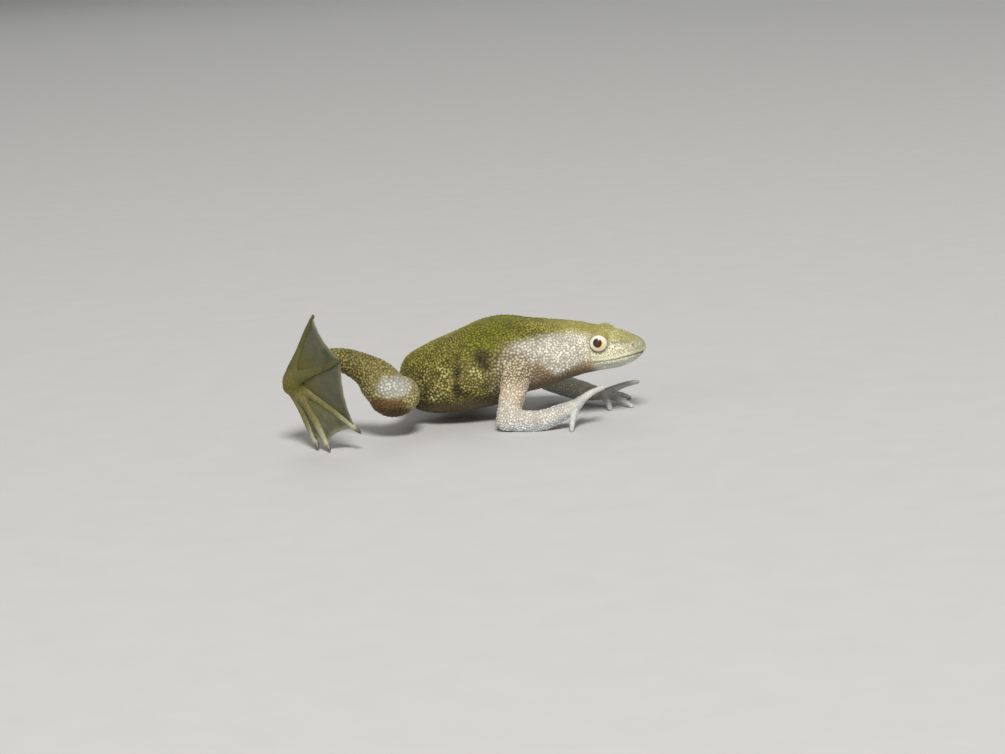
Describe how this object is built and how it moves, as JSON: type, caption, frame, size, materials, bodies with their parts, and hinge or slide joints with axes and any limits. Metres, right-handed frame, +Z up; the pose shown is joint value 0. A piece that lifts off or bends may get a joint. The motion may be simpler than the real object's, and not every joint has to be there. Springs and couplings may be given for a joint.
{
  "type": "western dwarf clawed frog model",
  "caption": "Life-size still model of a western dwarf clawed frog, resting on its right elbow and left hand with the right webbed foot raised.",
  "frame": {"origin": "middle of the bounding box's footprint, on the floor that the frog rests on", "axes": "+X to the snout, +Y to the frog's left side, +Z up"},
  "size_m": [0.0454, 0.051, 0.0177],
  "materials": {
    "back_skin": "moist, granular olive skin",
    "head_skin": "moist, fine-grained skin, olive above and silvery cream on the sides",
    "pale_skin": "moist, granular pinkish cream skin",
    "web_skin": "thin, smooth, translucent grey olive web with pale toes",
    "eye": "wet gloss, cream iris with a thin orange ring and a near-black pupil",
    "claw": "dark satin horn"
  },
  "bodies": {
    "root": {"trunk": "back_skin", "head": "head_skin", "eye_right": "eye", "eye_left": "eye", "upper_arm_right": "pale_skin", "forearm_right": "pale_skin", "hand_right": "pale_skin", "upper_arm_left": "pale_skin", "forearm_left": "pale_skin", "hand_left": "pale_skin", "thigh_right": "back_skin", "shank_right": "back_skin", "tarsus_right": "back_skin", "foot_right": "web_skin", "claw_right_1": "claw", "claw_right_2": "claw", "claw_right_3": "claw", "thigh_left": "back_skin", "shank_left": "back_skin", "tarsus_left": "back_skin", "foot_left": "web_skin", "claw_left_1": "claw", "claw_left_2": "claw", "claw_left_3": "claw"}
  },
  "joints": []
}
